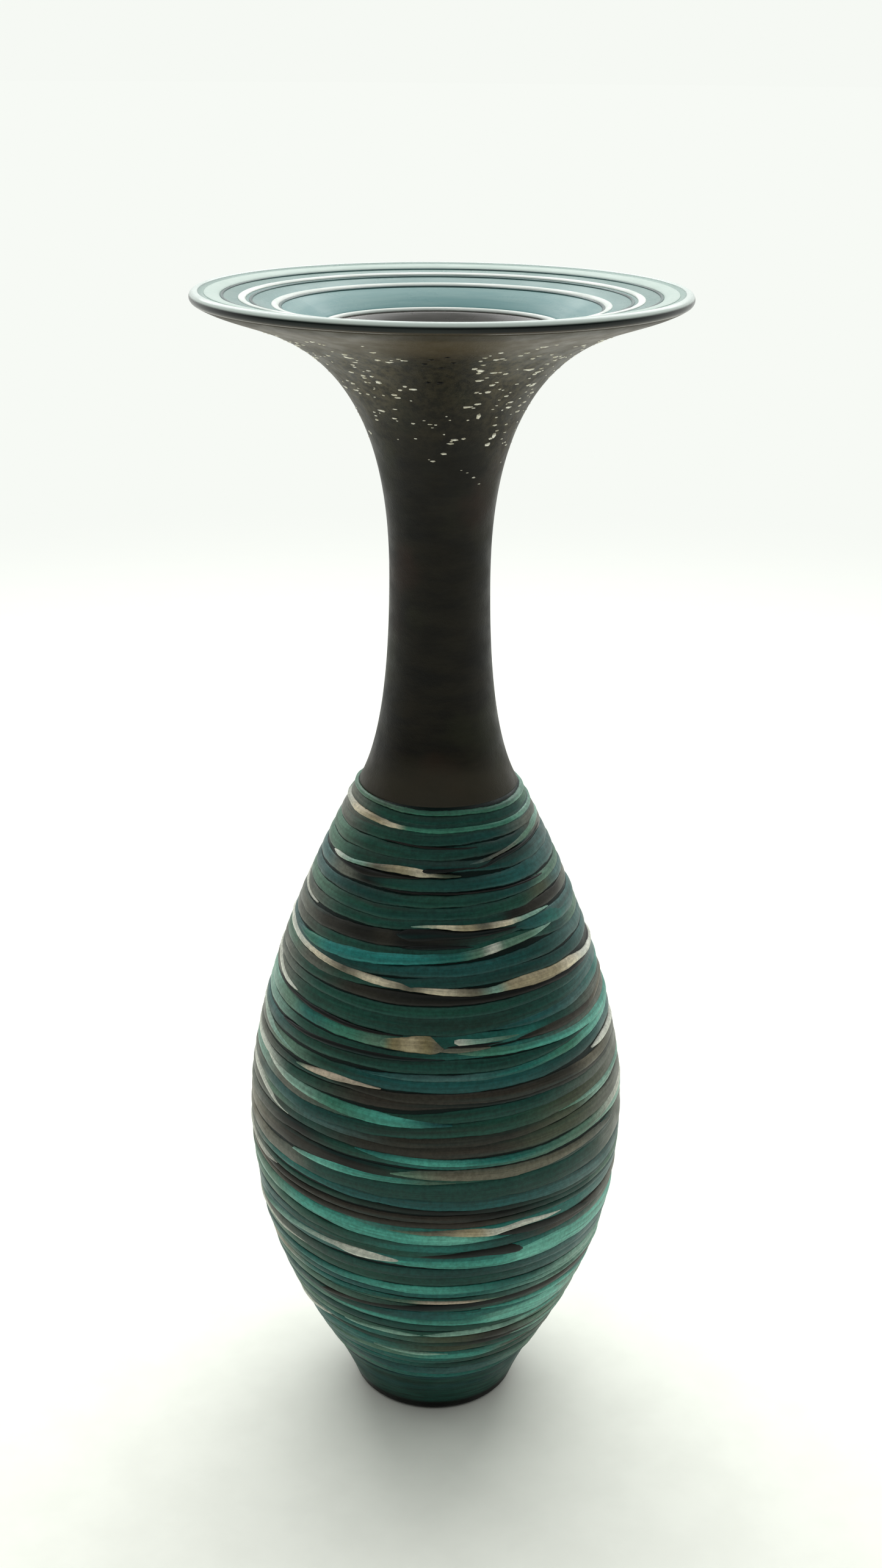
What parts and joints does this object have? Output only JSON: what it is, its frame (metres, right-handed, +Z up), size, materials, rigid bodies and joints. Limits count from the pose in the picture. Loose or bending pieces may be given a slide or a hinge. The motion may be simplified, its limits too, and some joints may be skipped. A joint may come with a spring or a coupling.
{
  "type": "art glass vase",
  "caption": "Blown glass vase with a small foot, an egg shaped body wound with glass trails, a slender neck and a wide flat flared lip with white threads.",
  "frame": {"origin": "centre of the foot, on the surface the vase stands on", "axes": "+Z up along the axis of the vase, -Y towards the front of the trails"},
  "size_m": [0.1172, 0.1172, 0.301],
  "materials": {
    "deep_teal_glass": "satin, fumed deep teal glass",
    "teal_glass": "satin teal glass",
    "blue_teal_glass": "satin blue teal glass",
    "seafoam_glass": "satin bright sea green glass",
    "brown_glass": "satin grey brown glass",
    "cream_glass": "cream glass with fine leaf",
    "gold_glass": "gold leaf in clear glass, rubbed",
    "bronze_glass": "satin smoky bronze glass with a faint lustre",
    "throat_grey_glass": "smooth grey brown lining glass",
    "aqua_glass": "glossy pale aqua glass",
    "rim_dark_glass": "glossy near black green glass",
    "white_glass": "opal white glass"
  },
  "bodies": {
    "root": {"foot": "deep_teal_glass", "body_core": "throat_grey_glass", "body_overlay": "deep_teal_glass", "neck_core": "throat_grey_glass", "neck_overlay": "bronze_glass", "lip_core": "aqua_glass", "lip_wrap": "rim_dark_glass", "lip_ring_outer": "white_glass", "lip_ring_middle": "white_glass", "lip_ring_inner": "white_glass", "throat_ring": "white_glass", "frit_chips": "white_glass", "trail_01": "blue_teal_glass", "trail_02": "teal_glass", "trail_03": "seafoam_glass", "trail_04": "deep_teal_glass", "trail_05": "brown_glass", "trail_06": "seafoam_glass", "trail_07": "deep_teal_glass", "trail_08": "seafoam_glass", "trail_09": "blue_teal_glass", "trail_10": "brown_glass", "trail_11": "cream_glass", "trail_12": "seafoam_glass", "trail_13": "deep_teal_glass", "trail_14": "seafoam_glass", "trail_15": "brown_glass", "trail_16": "teal_glass", "trail_17": "seafoam_glass", "trail_18": "brown_glass", "trail_19": "blue_teal_glass", "trail_20": "deep_teal_glass", "trail_21": "seafoam_glass", "trail_22": "cream_glass", "trail_23": "teal_glass", "trail_24": "brown_glass", "trail_25": "deep_teal_glass", "trail_26": "seafoam_glass", "trail_27": "brown_glass", "trail_28": "cream_glass", "trail_29": "blue_teal_glass", "trail_30": "deep_teal_glass", "trail_31": "seafoam_glass", "trail_32": "gold_glass", "trail_33": "deep_teal_glass", "trail_34": "brown_glass", "trail_35": "cream_glass", "trail_36": "blue_teal_glass", "trail_37": "teal_glass", "trail_38": "brown_glass", "trail_39": "cream_glass", "trail_40": "deep_teal_glass", "trail_41": "blue_teal_glass", "trail_42": "gold_glass", "trail_43": "deep_teal_glass", "trail_44": "cream_glass", "trail_45": "teal_glass"}
  },
  "joints": []
}
